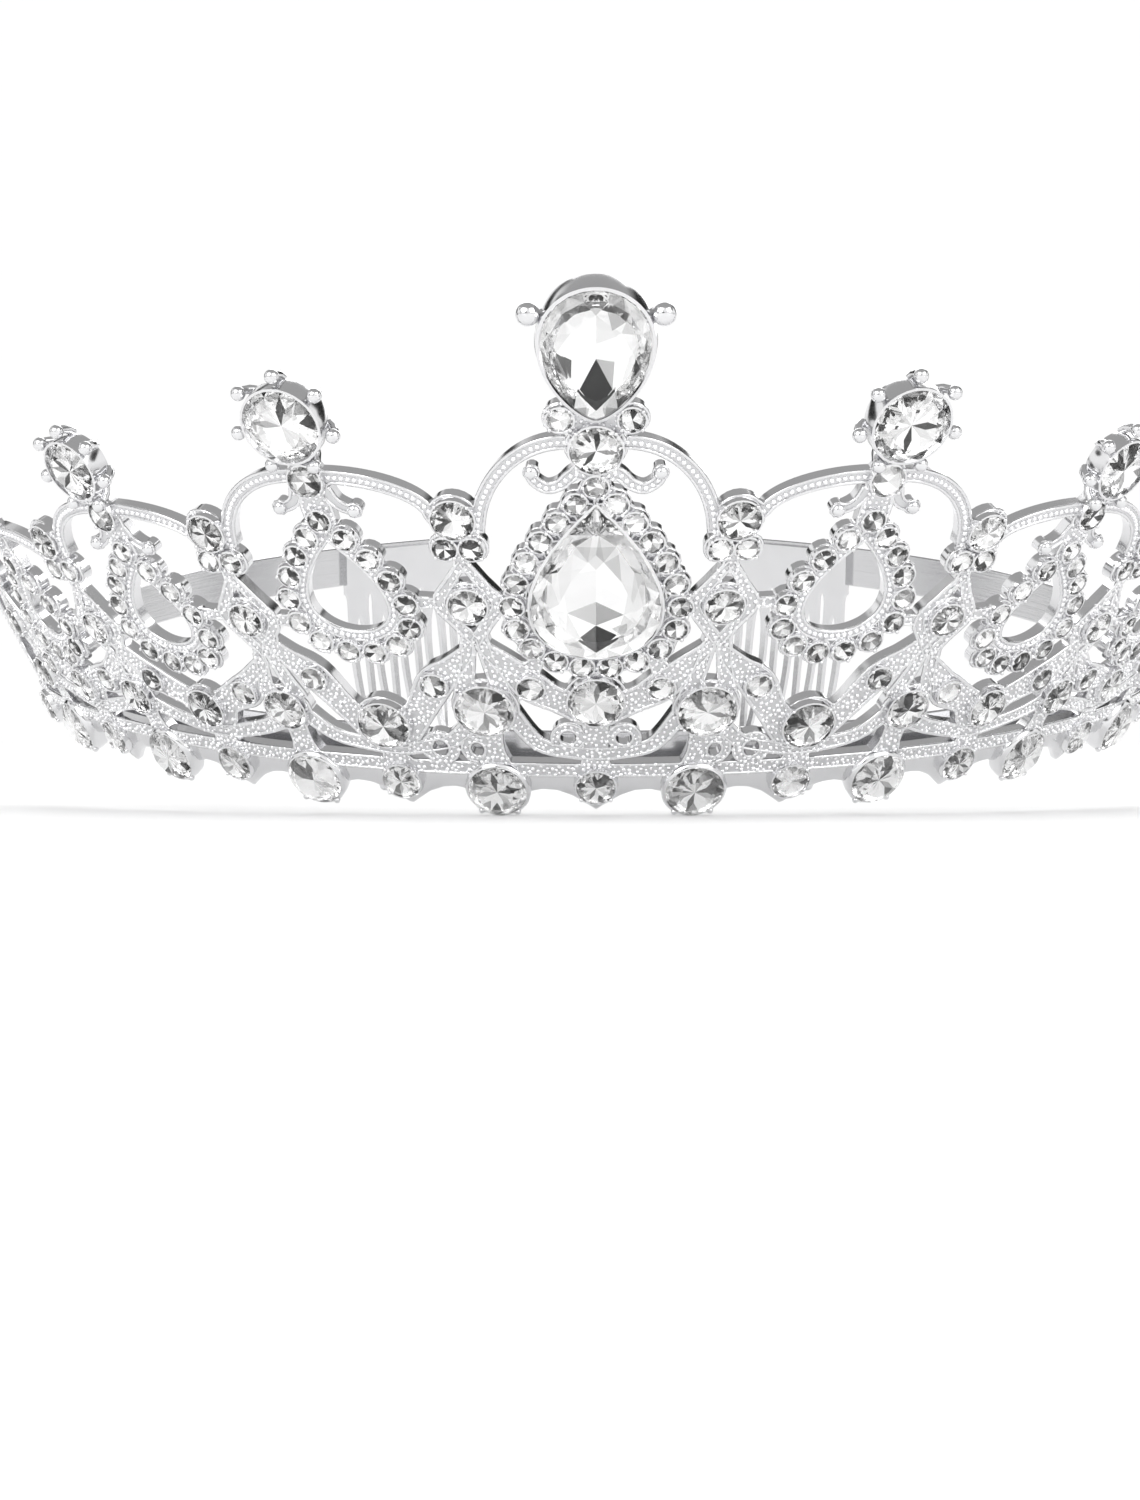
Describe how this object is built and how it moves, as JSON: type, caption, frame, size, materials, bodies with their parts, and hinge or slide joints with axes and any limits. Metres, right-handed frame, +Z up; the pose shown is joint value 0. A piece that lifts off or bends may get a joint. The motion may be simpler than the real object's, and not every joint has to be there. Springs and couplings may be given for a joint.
{
  "type": "tiara",
  "caption": "Openwork crystal tiara: a leaning cast front of pears, arches and swags set with foiled stones, on a springy strip with a hair comb at each end.",
  "frame": {"origin": "middle of the bounding box on the surface that the tiara rests on, with two base stones in front and a tooth of each comb behind", "axes": "+X to the right of the front seen from outside, +Y from the front to the comb ends, +Z up; the strip rises about 12 degrees to the rear"},
  "size_m": [0.1506, 0.1934, 0.0519],
  "materials": {
    "metal": "bright plated, grained on the plates",
    "crystal": "cut and foiled on the back"
  },
  "bodies": {
    "root": {"metal": "metal", "top_pear": "crystal", "main_pear": "crystal", "crown_round": "crystal", "finial_left_6": "crystal", "finial_left_4": "crystal", "finial_left_2": "crystal", "finial_right_2": "crystal", "finial_right_4": "crystal", "finial_right_6": "crystal", "trefoil_round_left_7": "crystal", "trefoil_round_left_5": "crystal", "trefoil_round_left_3": "crystal", "trefoil_round_left_1": "crystal", "trefoil_round_right_1": "crystal", "trefoil_round_right_3": "crystal", "trefoil_round_right_5": "crystal", "trefoil_round_right_7": "crystal", "fork_round_left_7": "crystal", "fork_round_left_5": "crystal", "fork_round_left_3": "crystal", "fork_round_left_1": "crystal", "fork_round_right_1": "crystal", "fork_round_right_3": "crystal", "fork_round_right_5": "crystal", "fork_round_right_7": "crystal", "base_round_left_7": "crystal", "base_round_left_5": "crystal", "base_round_left_3": "crystal", "base_round_left_1": "crystal", "base_round_right_1": "crystal", "base_round_right_3": "crystal", "base_round_right_5": "crystal", "base_round_right_7": "crystal", "swag_round_left_6": "crystal", "swag_round_left_4": "crystal", "swag_round_left_2": "crystal", "swag_round_centre": "crystal", "swag_round_right_2": "crystal", "swag_round_right_4": "crystal", "swag_round_right_6": "crystal", "halo_stones_left_6": "crystal", "halo_stones_left_4": "crystal", "halo_stones_left_2": "crystal", "halo_stones_centre": "crystal", "halo_stones_right_2": "crystal", "halo_stones_right_4": "crystal", "halo_stones_right_6": "crystal", "lozenge_stones": "crystal", "base_small_stones": "crystal", "accent_stones": "crystal"}
  },
  "joints": []
}
